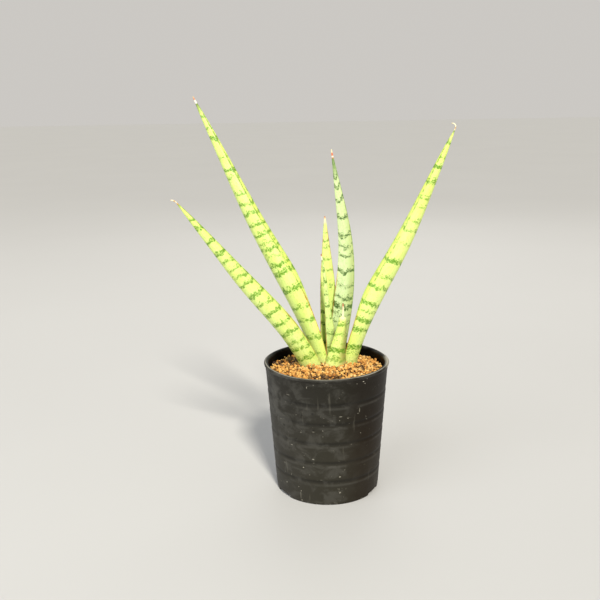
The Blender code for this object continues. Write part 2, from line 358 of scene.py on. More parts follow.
def potProfile():
    top = potShape["height"]
    neck = top - potShape["lipHeight"]
    wall = potShape["wall"]
    innerFloor = potShape["foot"] + potShape["floor"]
    profile = [(0.0, innerFloor), (0.012, innerFloor), (0.027, innerFloor)]
    profile.append((wallRadius(innerFloor) - wall - 0.0012, innerFloor))
    profile.append((wallRadius(innerFloor + 0.001) - wall, innerFloor + 0.0011))
    for height in np.linspace(0.010, neck - 0.002, 14):
        profile.append((wallRadius(height) - wall, height))
    middle = potShape["rimRadius"] - potShape["lipWidth"] / 2
    for step in range(17):
        turn = math.radians(202 - step * 254 / 16)
        across = middle + potShape["lipWidth"] / 2 * math.cos(turn)
        profile.append((across, top - potShape["lipHeight"] / 2 * (1 - math.sin(turn))))
    profile.append((wallRadius(0.0925) + 0.00015, 0.0926))
    profile.append((wallRadius(0.0905) + 0.00015, 0.0905))
    profile.append((wallRadius(0.0898), 0.0896))
    heights = set(np.round(np.linspace(0.003, 0.0885, 30), 5))
    for groove in potShape["grooves"]:
        for offset in np.linspace(-0.0036, 0.0020, 13):
            heights.add(round(groove + offset, 5))
    for height in sorted(heights, reverse=True):
        profile.append((grooved(height), height))
    base = potShape["baseRadius"]
    profile.append((base - 0.00005, 0.0012))
    profile.append((base - 0.0002, 0.0004))
    profile.append((base - potShape["footEdge"], 0.0))
    profile.append((base - potShape["footWall"] + 0.0003, 0.0))
    profile.append((base - potShape["footWall"], 0.0004))
    profile.append((base - potShape["footWall"], potShape["foot"]))
    profile.append((0.027, potShape["foot"]))
    profile.append((0.012, potShape["foot"]))
    profile.append((0.0, potShape["foot"]))
    return profile


def cutAway(piece, cutter):
    step = piece.modifiers.new("cut", "BOOLEAN")
    step.operation = "DIFFERENCE"
    step.solver = "EXACT"
    step.object = cutter
    bpy.context.view_layer.objects.active = piece
    bpy.ops.object.modifier_apply(modifier=step.name)
    bpy.data.objects.remove(cutter, do_unlink=True)


def makePot():
    pot = turnedPiece("nurseryPot", potProfile(), potShape["steps"])
    for degrees in potShape["notches"]:
        turn = math.radians(degrees)
        place = (
            axisX + potShape["baseRadius"] * math.cos(turn),
            axisY + potShape["baseRadius"] * math.sin(turn),
            0.0,
        )
        deselectAll()
        bpy.ops.mesh.primitive_cube_add(size=1.0, location=place, rotation=(0.0, 0.0, turn))
        cutter = named("notchCutter")
        cutter.scale = (0.009, potShape["notchWidth"], potShape["notchHeight"] * 2)
        edges = cutter.modifiers.new("round", "BEVEL")
        edges.width = 0.0012
        edges.segments = 3
        bpy.ops.object.transform_apply(location=False, rotation=False, scale=True)
        cutAway(pot, cutter)
    centres = [(0.0, 0.0)]
    for number in range(6):
        turn = number * math.tau / 6
        centres.append((potShape["holeCircle"] * math.cos(turn), potShape["holeCircle"] * math.sin(turn)))
    for across, deep in centres:
        deselectAll()
        place = (axisX + across, axisY + deep, potShape["foot"] + 0.0007)
        bpy.ops.mesh.primitive_cylinder_add(
            vertices=40, radius=potShape["holeRadius"], depth=0.004, location=place
        )
        cutAway(pot, named("holeCutter"))
    points = pointsOf(pot.data)
    around = np.arctan2(points[:, 1] - axisY, points[:, 0] - axisX)
    lift = np.clip(points[:, 2] / potShape["height"], 0.0, 1.0) ** 2
    sway = 0.00018 * np.sin(2 * around + 0.6) + 0.00010 * np.sin(5 * around + 2.0)
    sway += 0.00007 * np.sin(9 * around)
    points[:, 0] += np.cos(around) * sway * lift
    points[:, 1] += np.sin(around) * sway * lift
    rimShare = np.clip((points[:, 2] - 0.088) / 0.008, 0.0, 1.0)
    points[:, 2] -= rimShare * 0.00016 * (1 + np.sin(3 * around + 1.0))
    movePoints(pot.data, points)
    smoothed(pot, 42)
    return pot


potLook = {
    "plastic": (0.0225, 0.0205, 0.0140),
    # left is a painted sheen colour, right is painted shade with a brownish reflection
    "left": (0.0320, 0.0295, 0.0230),
    "right": (0.0110, 0.0062, 0.0016),
    # painted shade inside the pot
    "inside": (0.0025, 0.0023, 0.0020),
    # dust colour, also used for painted sheen and a painted highlight
    "dustAndSheen": (0.115, 0.112, 0.100),
    # painted highlight on the rim
    "rimHighlight": (0.42, 0.39, 0.32),
    "speck": (0.55, 0.52, 0.42),
    "groove": (0.0060, 0.0055, 0.0045),
}


# marks on the wall: degrees right of the front, height in mm, half width and half height in mm, strength
potMarks = {
    "pale": (
        (35, 91.6, 0.75, 0.4, 1.0), (37, 89.9, 0.5, 0.5, 0.5), (28, 91.0, 0.3, 0.3, 0.8),
        (32, 71, 0.5, 1.9, 0.35), (30.5, 68.8, 1.0, 0.3, 0.25), (13, 68.2, 1.4, 0.3, 0.4),
        (20, 66.6, 0.7, 0.3, 0.4), (12, 65.4, 0.4, 0.4, 0.35), (34.5, 53.4, 0.3, 0.35, 0.8),
        (-14, 35.8, 0.9, 0.4, 0.45), (-25, 28.4, 0.55, 0.35, 0.9), (-49, 12, 0.5, 0.45, 1.0),
        (-32, 12, 0.4, 0.4, 0.45), (-30, 5.8, 0.3, 4.0, 0.22), (-29, 9.2, 0.3, 0.6, 0.5),
        (-29, 1.8, 0.6, 0.45, 0.7), (13, 22.2, 0.8, 0.6, 0.5), (-84, 25.5, 0.5, 0.6, 0.9),
        (-37.5, 44, 0.9, 0.35, 0.45), (-13, 56.8, 1.1, 0.25, 0.35), (-18, 89.6, 0.3, 1.0, 0.4),
        (-38, 81.8, 2.0, 0.35, 0.22), (75, 21.2, 0.35, 0.4, 0.7), (77, 4.0, 0.6, 1.3, 0.5),
        (40, 1.0, 0.7, 0.25, 0.6), (-22, 0.7, 0.5, 0.25, 0.5), (-12, 0.6, 0.4, 0.25, 0.5),
        (3, 0.6, 0.9, 0.25, 0.4), (10, 0.7, 0.4, 0.25, 0.5),
    ),
    "dark": (
        (-13.5, 70.3, 1.2, 1.2, 0.6), (-24, 68.4, 1.0, 0.9, 0.6), (-13, 58, 1.0, 1.0, 0.6),
        (-46, 57.4, 1.3, 1.1, 0.6), (-3, 76.6, 1.3, 0.8, 0.5), (-31.5, 49.8, 0.9, 0.9, 0.5),
        (-40, 61, 0.8, 0.8, 0.4),
    ),
}


def markMask(tree, kind, around, height, ragged):
    covered = 0.0
    for degrees, level, wide, tall, strength in potMarks[kind]:
        turned = minus(tree, around, math.radians(degrees))
        beside = times(tree, turned, wallRadius(level / 1000) * 1000 / wide)
        above = maths(tree, "DIVIDE", minus(tree, height, level / 1000), tall / 1000)
        apart = scaled(tree, beside, beside, scaled(tree, above, above, ragged))
        spot = times(tree, between(tree, apart, 1.0, 0.1), strength)
        covered = larger(tree, covered, spot)
    return covered


def potFinish():
    finish, tree, shader = newFinish("dustyBlackPlastic")
    place = put(tree, "TexCoord").outputs["Object"]
    centred = stretched(tree, place, (1.0, 1.0, 1.0), (-axisX, -axisY, 0.0))
    across, deep, height = parts(tree, centred)
    flat = stretched(tree, centred, (1.0, 1.0, 0.0))
    outside = put(tree, "VectorMath", {0: flat}, operation="LENGTH").outputs["Value"]
    clouds = noise(tree, centred, 28.0, 4.0, 0.6)
    swirls = noise(tree, stretched(tree, centred, (1.0, 1.0, 1.3)), 95.0, 4.0, 0.6, 0.5)
    fine = noise(tree, centred, 900.0, 2.0, 0.6)

    # greyer to the left with a painted sheen, darker and browner to the right with painted shade and a
    # painted brownish reflection, darker towards the top
    colour = mix(tree, between(tree, across, 0.004, -0.034), potLook["plastic"], potLook["left"])
    colour = mix(tree, between(tree, across, 0.004, 0.030), colour, potLook["right"])
    colour = layered(tree, colour, between(tree, clouds, 0.40, 0.70), 0.35, potLook["left"])
    colour = layered(tree, colour, between(tree, height, 0.030, 0.088), 0.50, potLook["groove"])

    # painted shade in the grooves and a painted highlight on the ridge under each
    grooveStep = potShape["grooves"][0] - potShape["grooves"][1]
    phase = maths(tree, "DIVIDE", minus(tree, height, potShape["grooves"][-1]), grooveStep)
    saw = minus(tree, maths(tree, "FRACT", plus(tree, phase, 0.5)), 0.5)
    offGroove = times(tree, saw, grooveStep)
    zone = times(tree, between(tree, height, 0.0840, 0.0820), between(tree, height, 0.012, 0.014))
    shade = times(tree, between(tree, sizeOf(tree, offGroove), 0.0022, 0.0002), zone)
    underGroove = sizeOf(tree, plus(tree, offGroove, 0.0028))
    ridgeHighlight = times(tree, between(tree, underGroove, 0.0014, 0.0003), zone)
    patches = noise(tree, stretched(tree, centred, (1.0, 1.0, 0.5)), 75.0, 3.0)
    patchy = between(tree, patches, 0.36, 0.60)
    shade = times(tree, times(tree, shade, 0.55), scaled(tree, patchy, 0.35, 0.65))
    colour = mix(tree, shade, colour, potLook["groove"])
    colour = layered(tree, colour, times(tree, ridgeHighlight, patchy), 0.16, potLook["dustAndSheen"])

    # dusty haze with painted sheen, thickest on the upper left, and a thin film
    leftEdge = between(tree, across, -0.026, -0.041)
    upper = times(tree, between(tree, height, 0.040, 0.066), between(tree, height, 0.092, 0.080))
    hazeAndSheen = times(tree, leftEdge, scaled(tree, upper, 0.75, 0.25))
    hazeAndSheen = times(tree, hazeAndSheen, between(tree, swirls, 0.34, 0.62))
    film = times(tree, between(tree, swirls, 0.46, 0.66), between(tree, across, 0.026, 0.004))
    colour = layered(tree, colour, film, 0.20, potLook["dustAndSheen"])
    colour = layered(tree, colour, hazeAndSheen, 0.62, potLook["dustAndSheen"])

    # fine grit, short scuffs and drip marks
    grit = noise(tree, centred, 420.0, 2.0, 0.7)
    gritPatch = between(tree, noise(tree, centred, 70.0, 2.0), 0.55, 0.66)
    dots = times(tree, between(tree, grit, 0.665, 0.72), gritPatch)
    scuffs = noise(tree, stretched(tree, centred, (1.0, 1.0, 3.2)), 150.0, 3.0, 0.7)
    scuff = times(tree, between(tree, scuffs, 0.66, 0.80), 0.45)
    drips = noise(tree, stretched(tree, centred, (1.0, 1.0, 0.16), (0.0, 0.0, 0.3)), 190.0, 2.0, 0.6)
    drip = times(tree, between(tree, drips, 0.64, 0.82), 0.11)
    marks = larger(tree, larger(tree, times(tree, dots, 0.45), scuff), drip)
    colour = layered(tree, colour, marks, 0.75, potLook["speck"])

    # larger marks, each in its own place
    around = maths(tree, "ARCTAN2", across, times(tree, deep, -1.0))
    ragged = scaled(tree, noise(tree, centred, 1100.0, 2.0, 0.6), 1.6, -0.8)
    darkMarks = markMask(tree, "dark", around, height, ragged)
    colour = mix(tree, darkMarks, colour, potLook["groove"])
    paleMarks = markMask(tree, "pale", around, height, ragged)
    colour = layered(tree, colour, paleMarks, 0.9, potLook["speck"])

    # painted shade: near black inside
    taper = (potShape["neckRadius"] - potShape["baseRadius"]) / (potShape["height"] - potShape["lipHeight"])
    depth = minus(tree, scaled(tree, height, taper, potShape["baseRadius"]), outside)
    inner = times(tree, between(tree, depth, 0.0005, 0.0009), between(tree, height, 0.0040, 0.0046))
    colour = mix(tree, inner, colour, potLook["inside"])

    # lip: rubbed on top with painted sheen, a thin painted highlight line along the crown and a painted
    # highlight at the front of its right end
    lip = between(tree, height, 0.0931, 0.0942)
    wearAndSheen = times(tree, lip, between(tree, noise(tree, centred, 110.0, 4.0, 0.6), 0.34, 0.66))
    colour = layered(tree, colour, wearAndSheen, 0.28, potLook["dustAndSheen"])
    offCrown = sizeOf(tree, minus(tree, outside, 0.0440))
    crownHighlight = times(tree, between(tree, height, 0.0948, 0.0955), between(tree, offCrown, 0.0005, 0.0001))
    crownHighlight = times(tree, crownHighlight, scaled(tree, between(tree, clouds, 0.36, 0.56), 0.55, 0.45))
    colour = layered(tree, colour, crownHighlight, 0.62, potLook["rimHighlight"])
    lipFront = times(tree, lip, between(tree, deep, 0.012, 0.004))
    rimEndHighlight = times(tree, between(tree, across, 0.0405, 0.0440), lipFront)
    colour = layered(tree, colour, rimEndHighlight, 0.65, potLook["rimHighlight"])
    feed(tree, shader.inputs["Base Color"], colour)

    rough = scaled(tree, hazeAndSheen, 0.25, scaled(tree, fine, 0.14, 0.44))
    feed(tree, shader.inputs["Roughness"], rough)
    shader.inputs["Specular IOR Level"].default_value = 0.14
    wavy = bump(tree, noise(tree, stretched(tree, centred, (1.0, 1.0, 0.6)), 55.0, 2.0), 0.35, 0.0008)
    feed(tree, shader.inputs["Normal"], bump(tree, fine, 0.16, 0.0002, wavy))
    return finish


pot = makePot()
finishPiece(pot, potFinish(), "black_plastic", "pot")
print("pot:", len(pot.data.polygons), "faces")


# leaves

# base in mm from the pot axis, leans in degrees, widths in mm
# the rest is in shares of half the width or of the length
# most bases, lengths, leans, widths and band places were fitted by another program and rounded
# bands: share of the length, half thickness in mm, strength, mottling
# margins: right and left, each with the shares between which it is orange, then green
leaves = {
    "innerLeaf": dict(
        stands="leaf_inner_small", slot="lime_leaf",
        base=(3, 15), faces=-75, length=79, right=(5, -6, -4, -11), back=(3, 5),
        widths=(7, 7, 4.25, 2.5, 1), depth=(0.7, 0.8), channel=(0.1, -0.6), opens=0.5,
        dip=0.5, vee=0.0,
        bands=(
            (0.12, 0.5, 0.6, 0.3), (0.26, 0.4, 0.5, 0.5), (0.40, 0.5, 0.6, 0.4), (0.52, 0.4, 0.7, 0.6),
            (0.64, 0.5, 0.6, 0.7), (0.75, 0.6, 0.9, 0.8), (0.85, 0.5, 0.8, 0.5),
        ),
        margins=((0.0, 0.35, 0.5, 0.95), (0.0, 0.5, 0.6, 1.0)),
        tip=(
            (0.0, (0.28, 0.17, 0.09), 1.0), (0.10, (0.42, 0.12, 0.04), 1.0),
            (0.20, (0.75, 0.68, 0.45), 1.0), (0.38, (0.78, 0.74, 0.52), 0.9),
            (0.52, (0.20, 0.30, 0.05), 0.4), (0.75, (0.20, 0.30, 0.05), 0.0),
        ),
        tone="pale",
    ),
    "backLeaf": dict(
        stands="leaf_back_small", slot="lime_leaf",
        base=(0.5, 23), faces=-85, length=105, right=(7, -1, -2, -2), back=(9, 12),
        widths=(12, 12.75, 11.25, 6.5, 2.25), depth=(0.5, 0.6), channel=(0.2, -0.3), opens=0.8,
        dip=0.8, vee=0.0,
        bands=(
            (0.104, 0.7, 0.9, 0.6), (0.246, 0.6, 0.8, 0.3), (0.325, 0.8, 1.0, 0.2),
            (0.382, 0.3, 0.4, 0.3), (0.511, 0.4, 0.5, 0.7), (0.617, 0.35, 0.4, 0.3),
            (0.70, 0.35, 0.4, 0.3), (0.78, 0.4, 0.5, 0.2), (0.83, 0.4, 0.5, 0.2), (0.879, 0.3, 0.4, 0.1),
        ),
        margins=((0.0, 0.9, 0.95, 1.0), (0.0, 0.85, 0.9, 1.0)),
        tip=(
            (0.0, (0.30, 0.16, 0.08), 1.0), (0.12, (0.60, 0.26, 0.08), 1.0),
            (0.22, (0.80, 0.66, 0.38), 1.0), (0.45, (0.80, 0.72, 0.40), 0.8),
            (0.70, (0.70, 0.66, 0.22), 0.0),
        ),
        tone="yellow",
    ),
    "centreLeaf": dict(
        stands="leaf_centre_tall", slot="grey_leaf",
        base=(8, 19), faces=-103, length=155, right=(6, 6, -8, -9), back=(6, 13),
        widths=(10.5, 14.25, 11.5, 6.75, 2), depth=(0.7, 0.75), channel=(0.35, -0.3), opens=0.8,
        dip=1.0, vee=2.6,
        # painted shade on the right side, where the right tall leaf shades it
        tint=(1, (0.36, 0.43, 0.15), 1.0),
        bands=(
            (0.06, 0.4, 0.5, 0.4), (0.12, 0.5, 0.6, 0.4), (0.18, 0.5, 0.6, 0.4), (0.219, 0.4, 0.5, 0.8),
            (0.262, 0.8, 1.0, 0.3), (0.305, 0.5, 0.8, 0.2), (0.362, 0.4, 0.5, 0.6),
            (0.432, 0.75, 1.0, 0.2), (0.506, 0.5, 0.7, 0.3), (0.55, 0.4, 0.5, 0.4),
            (0.600, 0.6, 0.8, 0.3), (0.69, 0.6, 0.8, 0.9), (0.773, 0.6, 0.9, 0.3), (0.835, 0.5, 0.7, 0.5),
            (0.885, 0.6, 0.9, 0.6), (0.941, 0.5, 0.8, 0.2),
        ),
        margins=((0.0, 0.2, 0.25, 1.0), (0.05, 0.4, 0.9, 1.0)),
        tip=(
            (0.0, (0.66, 0.56, 0.36), 1.0), (0.20, (0.74, 0.62, 0.38), 1.0),
            (0.28, (0.58, 0.12, 0.03), 1.0), (0.44, (0.60, 0.14, 0.04), 1.0),
            (0.52, (0.84, 0.78, 0.60), 1.0), (0.62, (0.42, 0.14, 0.05), 0.9),
            (0.72, (0.09, 0.17, 0.025), 0.9), (1.0, (0.11, 0.20, 0.035), 0.80),
        ),
        tipFade=15.0,
        tone="grey",
    ),
    "leftTallLeaf": dict(
        stands="leaf_left_tall", slot="lime_leaf",
        base=(-2, 14), faces=28, length=213, right=(-14, -29, -26, -27), back=(4, 8),
        widths=(15.75, 19.5, 15.25, 9, 3.25), depth=(0.9, 0.95), channel=(0.4, -0.7), opens=0.36,
        dip=-1.4, vee=0.0,
        bands=(
            (0.03, 0.4, 0.4, 0.3), (0.09, 0.5, 0.6, 0.4), (0.156, 0.55, 0.7, 0.4), (0.205, 0.5, 0.7, 0.6),
            (0.273, 0.8, 0.9, 1.0), (0.338, 0.95, 0.9, 1.0), (0.368, 0.9, 0.9, 1.0),
            (0.40, 0.3, 0.4, 0.3), (0.429, 0.6, 0.9, 0.2), (0.45, 0.4, 0.6, 0.1), (0.483, 0.6, 0.9, 0.2),
            (0.521, 0.55, 0.8, 0.3), (0.563, 0.55, 0.8, 0.3), (0.599, 0.5, 0.8, 0.2),
            (0.637, 0.4, 0.5, 0.4), (0.695, 0.4, 0.5, 0.7), (0.723, 0.7, 1.0, 0.2),
            (0.769, 0.4, 0.5, 0.7), (0.841, 0.75, 1.0, 0.2), (0.876, 0.35, 0.5, 0.2),
            (0.919, 0.35, 0.6, 0.1),
        ),
        margins=((0.04, 0.20, 0.9, 1.0), (0.0, 0.24, 0.20, 1.0)),
        tip=(
            (0.0, (0.62, 0.46, 0.24), 1.0), (0.14, (0.66, 0.34, 0.14), 1.0),
            (0.22, (0.56, 0.10, 0.03), 1.0), (0.33, (0.84, 0.76, 0.60), 1.0),
            (0.50, (0.84, 0.80, 0.62), 1.0), (0.60, (0.10, 0.17, 0.03), 0.9),
            (1.0, (0.13, 0.23, 0.035), 0.55),
        ),
        tipFade=5.0,
        tone="lime",
    ),
    "rightTallLeaf": dict(
        stands="leaf_right_tall", slot="lime_leaf",
        base=(16, 12.2), faces=150, length=183, right=(12, 29, 25, 25), back=(3, 7),
        widths=(15, 17, 14.5, 9, 3.5), depth=(0.9, 0.95), channel=(0.4, -0.75), opens=0.32,
        dip=-1.4, vee=0.0,
        bands=(
            (0.004, 0.4, 0.4, 0.3), (0.039, 0.4, 0.5, 0.4), (0.064, 0.8, 1.0, 0.5),
            (0.136, 0.65, 1.0, 0.2), (0.180, 0.65, 1.0, 0.3), (0.219, 0.4, 0.5, 0.4),
            (0.249, 0.6, 0.9, 0.4), (0.318, 0.6, 0.8, 0.3), (0.372, 0.5, 0.6, 0.5),
            (0.440, 0.6, 0.9, 0.1), (0.515, 0.3, 0.3, 0.5), (0.576, 0.4, 0.6, 0.2),
            (0.614, 0.4, 0.5, 0.7), (0.672, 0.3, 0.4, 0.4), (0.71, 0.45, 0.7, 0.2), (0.78, 0.5, 0.7, 0.3),
            (0.838, 0.7, 1.0, 0.2), (0.878, 0.4, 0.6, 0.2), (0.94, 0.5, 0.8, 0.1),
        ),
        margins=((0.0, 0.19, 0.27, 1.0), (0.10, 0.24, 0.9, 1.0)),
        tip=(
            (0.0, (0.62, 0.50, 0.30), 1.0), (0.14, (0.84, 0.76, 0.52), 1.0),
            (0.40, (0.84, 0.74, 0.48), 1.0), (0.52, (0.50, 0.24, 0.07), 1.0),
            (0.64, (0.80, 0.70, 0.42), 1.0), (0.76, (0.14, 0.22, 0.04), 0.8),
            (1.0, (0.20, 0.28, 0.06), 0.0),
        ),
        tipTurn=((2.2, 2), (1.6, -50), (2.4, -95)),
        tone="lime",
    ),
    "frontShortLeaf": dict(
        stands="leaf_front_short", slot="lime_leaf",
        base=(7, 3.5), faces=93, length=47, right=(2, 11, 7, -3), back=(-3, -4),
        widths=(15.75, 11.75, 8.25, 5.25, 2.25), depth=(0.65, 0.85), channel=(0.1, -0.8), opens=0.5,
        dip=-0.8, vee=0.0,
        # painted shade on the right side
        needle=(0.755, 0.785, 1.5), tint=(-1, (0.34, 0.34, 0.08), 1.0),
        bands=(
            (0.088, 0.5, 0.6, 0.4), (0.237, 0.9, 1.0, 0.9), (0.36, 0.3, 0.3, 0.4), (0.49, 0.4, 0.5, 0.9),
            (0.656, 0.6, 0.8, 0.2),
        ),
        margins=((0.0, 0.5, 0.6, 0.7), (0.0, 0.6, 0.7, 0.8)),
        tip=(
            (0.0, (0.24, 0.10, 0.05), 1.0), (0.16, (0.55, 0.12, 0.04), 1.0),
            (0.28, (0.80, 0.68, 0.42), 1.0), (0.90, (0.82, 0.78, 0.50), 1.0),
            (1.0, (0.80, 0.84, 0.42), 0.75),
        ),
        tipFade=4.0,
        tone="lime",
    ),
    "lowLeftLeaf": dict(
        stands="leaf_left_low", slot="lime_leaf",
        base=(-11.5, 5.5), faces=70, length=154, right=(-23, -38, -36, -37), back=(-14, -16),
        widths=(15.5, 15, 12.75, 7.5, 2.75), depth=(0.85, 0.9), channel=(0.3, -0.75), opens=0.26,
        dip=-1.4, vee=0.0,
        bands=(
            (0.05, 0.6, 0.8, 0.5), (0.111, 0.6, 0.8, 0.5), (0.15, 0.45, 0.6, 0.5), (0.205, 0.6, 0.8, 0.9),
            (0.269, 0.6, 0.9, 0.4), (0.334, 0.55, 0.8, 0.4), (0.393, 0.55, 0.8, 0.3),
            (0.452, 0.55, 0.8, 0.4), (0.52, 0.55, 0.8, 0.3), (0.561, 0.4, 0.6, 0.4),
            (0.609, 0.35, 0.5, 0.6), (0.657, 0.5, 0.7, 0.3), (0.706, 0.65, 1.0, 0.3),
            (0.771, 0.6, 0.9, 0.2), (0.846, 0.5, 0.8, 0.2), (0.90, 0.45, 0.7, 0.1),
        ),
        margins=((0.04, 0.12, 0.9, 1.0), (0.0, 0.30, 0.34, 1.0)),
        tip=(
            (0.0, (0.66, 0.52, 0.30), 1.0), (0.14, (0.84, 0.76, 0.52), 1.0),
            (0.26, (0.50, 0.26, 0.08), 1.0), (0.38, (0.86, 0.80, 0.60), 1.0),
            (0.52, (0.60, 0.28, 0.08), 0.9), (0.66, (0.16, 0.24, 0.04), 0.7),
            (0.95, (0.22, 0.32, 0.07), 0.0),
        ),
        tipTurn=((2.0, -70), (2.2, -82)),
        tone="lime",
    ),
}

leafMesh = {"rows": 210, "around": 48, "start": 91.0, "below": 7.0, "tipWidth": 0.7}
widthStations = (0.0, 0.25, 0.5, 0.75, 0.94, 1.0)
leanStations = (0.0, 1 / 3, 2 / 3, 1.0)


def through(stations, values, shares):
    stations = np.array(stations, float)
    values = np.array(values, float)
    slopes = np.gradient(values, stations)
    at = np.clip(np.searchsorted(stations, shares, side="right") - 1, 0, len(stations) - 2)
    span = stations[at + 1] - stations[at]
    t = (shares - stations[at]) / span
    start = (2 * t ** 3 - 3 * t ** 2 + 1) * values[at] + (t ** 3 - 2 * t ** 2 + t) * span * slopes[at]
    return start + (3 * t ** 2 - 2 * t ** 3) * values[at + 1] + (t ** 3 - t ** 2) * span * slopes[at + 1]


def leafForm(leaf, number):
    length = leaf["length"]
    turns = leaf.get("tipTurn", ())
    reach = length + sum(turn[0] for turn in turns)
    runs = [np.linspace(-leafMesh["below"], 0, 8)[:-1], np.linspace(0, length, leafMesh["rows"])]
    if turns:
        runs.append(np.linspace(length, reach, 18)[1:])
    run = np.concatenate(runs)
    share = np.clip(run / length, 0.0, 1.0)
    right = through(leanStations, leaf["right"], share)
    if turns:
        stops = [length]
        leans = [leaf["right"][-1]]
        for turn in turns:
            stops.append(stops[-1] + turn[0])
            leans.append(turn[1])
        right = np.where(run > length, np.interp(run, stops, leans), right)
    back = leaf["back"][0] + (leaf["back"][1] - leaf["back"][0]) * share
    right = np.radians(right)
    along = np.stack([np.sin(right), np.tan(np.radians(back)) * np.abs(np.cos(right)), np.cos(right)], axis=1)
    along /= np.linalg.norm(along, axis=1)[:, None]
    steps = np.diff(run)[:, None] * (along[1:] + along[:-1]) / 2
    line = np.concatenate([np.zeros((1, 3)), np.cumsum(steps, axis=0)])
    zero = int(np.argmin(np.abs(run)))
    line += np.array([leaf["base"][0], leaf["base"][1], leafMesh["start"]]) - line[zero]
    faces = math.radians(leaf["faces"])
    towards = np.array([math.cos(faces), math.sin(faces), 0.0])
    inward = towards - along * (along @ towards)[:, None]
    inward /= np.linalg.norm(inward, axis=1)[:, None]
    across = np.cross(along, inward)
    widths = list(leaf["widths"]) + [leafMesh["tipWidth"]]
    half = np.maximum(through(widthStations, widths, share), leafMesh["tipWidth"]) / 2
    past = np.clip((run - length) / max(reach - length, 1e-6), 0.0, 1.0)
    half = half * (1.0 + 0.75 * np.sin(past * 2.4) - 0.75 * past)
    if "needle" in leaf:
        shoulderStart, shoulderEnd, needleWidth = leaf["needle"]
        over = np.clip((share - shoulderStart) / (shoulderEnd - shoulderStart), 0.0, 1.0)
        needle = (needleWidth - 0.6 * np.clip((share - shoulderEnd) / (1 - shoulderEnd), 0.0, 1.0)) / 2
        half = np.where(over > 0, needle + (half - needle) * np.sqrt(1 - over ** 2), half)
    closed = np.clip(share / leaf["opens"], 0.0, 1.0)
    closed = closed * closed * (3 - 2 * closed)
    outer = half * (leaf["depth"][0] + (leaf["depth"][1] - leaf["depth"][0]) * closed)
    inner = half * (leaf["channel"][0] + (leaf["channel"][1] - leaf["channel"][0]) * closed)
    turn = np.linspace(0.0, math.tau, leafMesh["around"], endpoint=False)
    side = half[:, None] * np.cos(turn)
    deep = np.where(turn < math.pi, -outer[:, None] * np.sin(turn), inner[:, None] * np.sin(turn))
    points = line[:, None, :] + across[:, None, :] * side[:, :, None] + inward[:, None, :] * deep[:, :, None]
    ring = np.stack([side, deep], axis=2)
    arc = np.linalg.norm(np.roll(ring, -1, axis=1) - ring, axis=2)
    walked = np.concatenate([np.zeros((len(run), 1)), np.cumsum(arc, axis=1)[:, :-1]], axis=1)
    girth = arc.sum(axis=1)[:, None]
    halfway = walked[:, leafMesh["around"] // 2][:, None]
    fromRight = np.minimum(walked, girth - walked)
    fromLeft = np.abs(walked - halfway)
    cross = np.broadcast_to(np.cos(turn), side.shape)
    position = run[:, None] + leaf["dip"] * (1 - cross ** 2) + leaf["vee"] * (1 - np.abs(cross))
    table = np.array(leaf["bands"])
    marks = table[:, 0] * length
    marks = np.concatenate([[marks[0] - 9.0], marks, [marks[-1] + 9.0]])
    table = np.concatenate([table[:1] * (0, 1, 0, 0), table, table[:1] * (0, 1, 0, 0)])
    count = np.interp(position, marks, np.arange(len(marks)))
    gapAt = np.clip(np.searchsorted(marks, position, side="right") - 1, 0, len(marks) - 2)
    gap = np.diff(marks)[gapAt]
    nearest = np.clip(np.round(count).astype(int), 0, len(marks) - 1)
    place = np.stack([side, deep, np.broadcast_to(run[:, None] + 400.0 * number, side.shape)], axis=2)
    fromTip = np.broadcast_to(reach - run[:, None], side.shape)
    fields = {
        "leafPlace": place,
        "leafBand": np.stack([count, gap, table[nearest, 2]], axis=2),
        "leafEdge": np.stack([fromRight, fromLeft, np.broadcast_to(share[:, None], side.shape)], axis=2),
        "leafMark": np.stack([fromTip, table[nearest, 3], table[nearest, 1]], axis=2),
    }
    points = points / 1000 + np.array([axisX, axisY, 0.0])
    return points, fields


def makeLeaf(name, leaf, number):
    points, fields = leafForm(leaf, number)
    rows, around = points.shape[:2]
    deselectAll()
    bpy.ops.mesh.primitive_grid_add(x_subdivisions=rows - 1, y_subdivisions=around, size=2.0)
    piece = named(name)
    start = pointsOf(piece.data)
    row = np.round((start[:, 0] + 1) / 2 * (rows - 1)).astype(int)
    turn = np.round((start[:, 1] + 1) / 2 * around).astype(int) % around
    movePoints(piece.data, points[row, turn])
    for field, values in fields.items():
        vectorField(piece.data, field, values[row, turn])
    bpy.ops.object.mode_set(mode="EDIT")
    bpy.ops.mesh.select_mode(type="VERT")
    bpy.ops.mesh.select_all(action="SELECT")
    bpy.ops.mesh.remove_doubles(threshold=0.000002)
    bpy.ops.mesh.fill_holes(sides=0)
    bpy.ops.mesh.select_all(action="SELECT")
    bpy.ops.mesh.normals_make_consistent(inside=False)
    bpy.ops.object.mode_set(mode="OBJECT")
    smoothed(piece, 55)
    return piece, points


leafTones = {
    "lime": dict(
        base=(0.68, 0.81, 0.165), pale=(0.69, 0.83, 0.27),
        dark=(0.085, 0.24, 0.010), mid=(0.30, 0.50, 0.04),
    ),
    "yellow": dict(
        base=(0.60, 0.72, 0.18), pale=(0.66, 0.78, 0.28),
        dark=(0.06, 0.16, 0.008), mid=(0.32, 0.44, 0.04),
    ),
    "pale": dict(
        base=(0.62, 0.76, 0.26), pale=(0.70, 0.82, 0.38),
        dark=(0.05, 0.14, 0.010), mid=(0.24, 0.38, 0.04),
    ),
    "grey": dict(
        base=(0.54, 0.66, 0.30), pale=(0.62, 0.74, 0.43),
        dark=(0.030, 0.085, 0.010), mid=(0.18, 0.28, 0.05),
    ),
}
marginColours = {"orange": (0.46, 0.18, 0.028), "green": (0.12, 0.23, 0.015)}


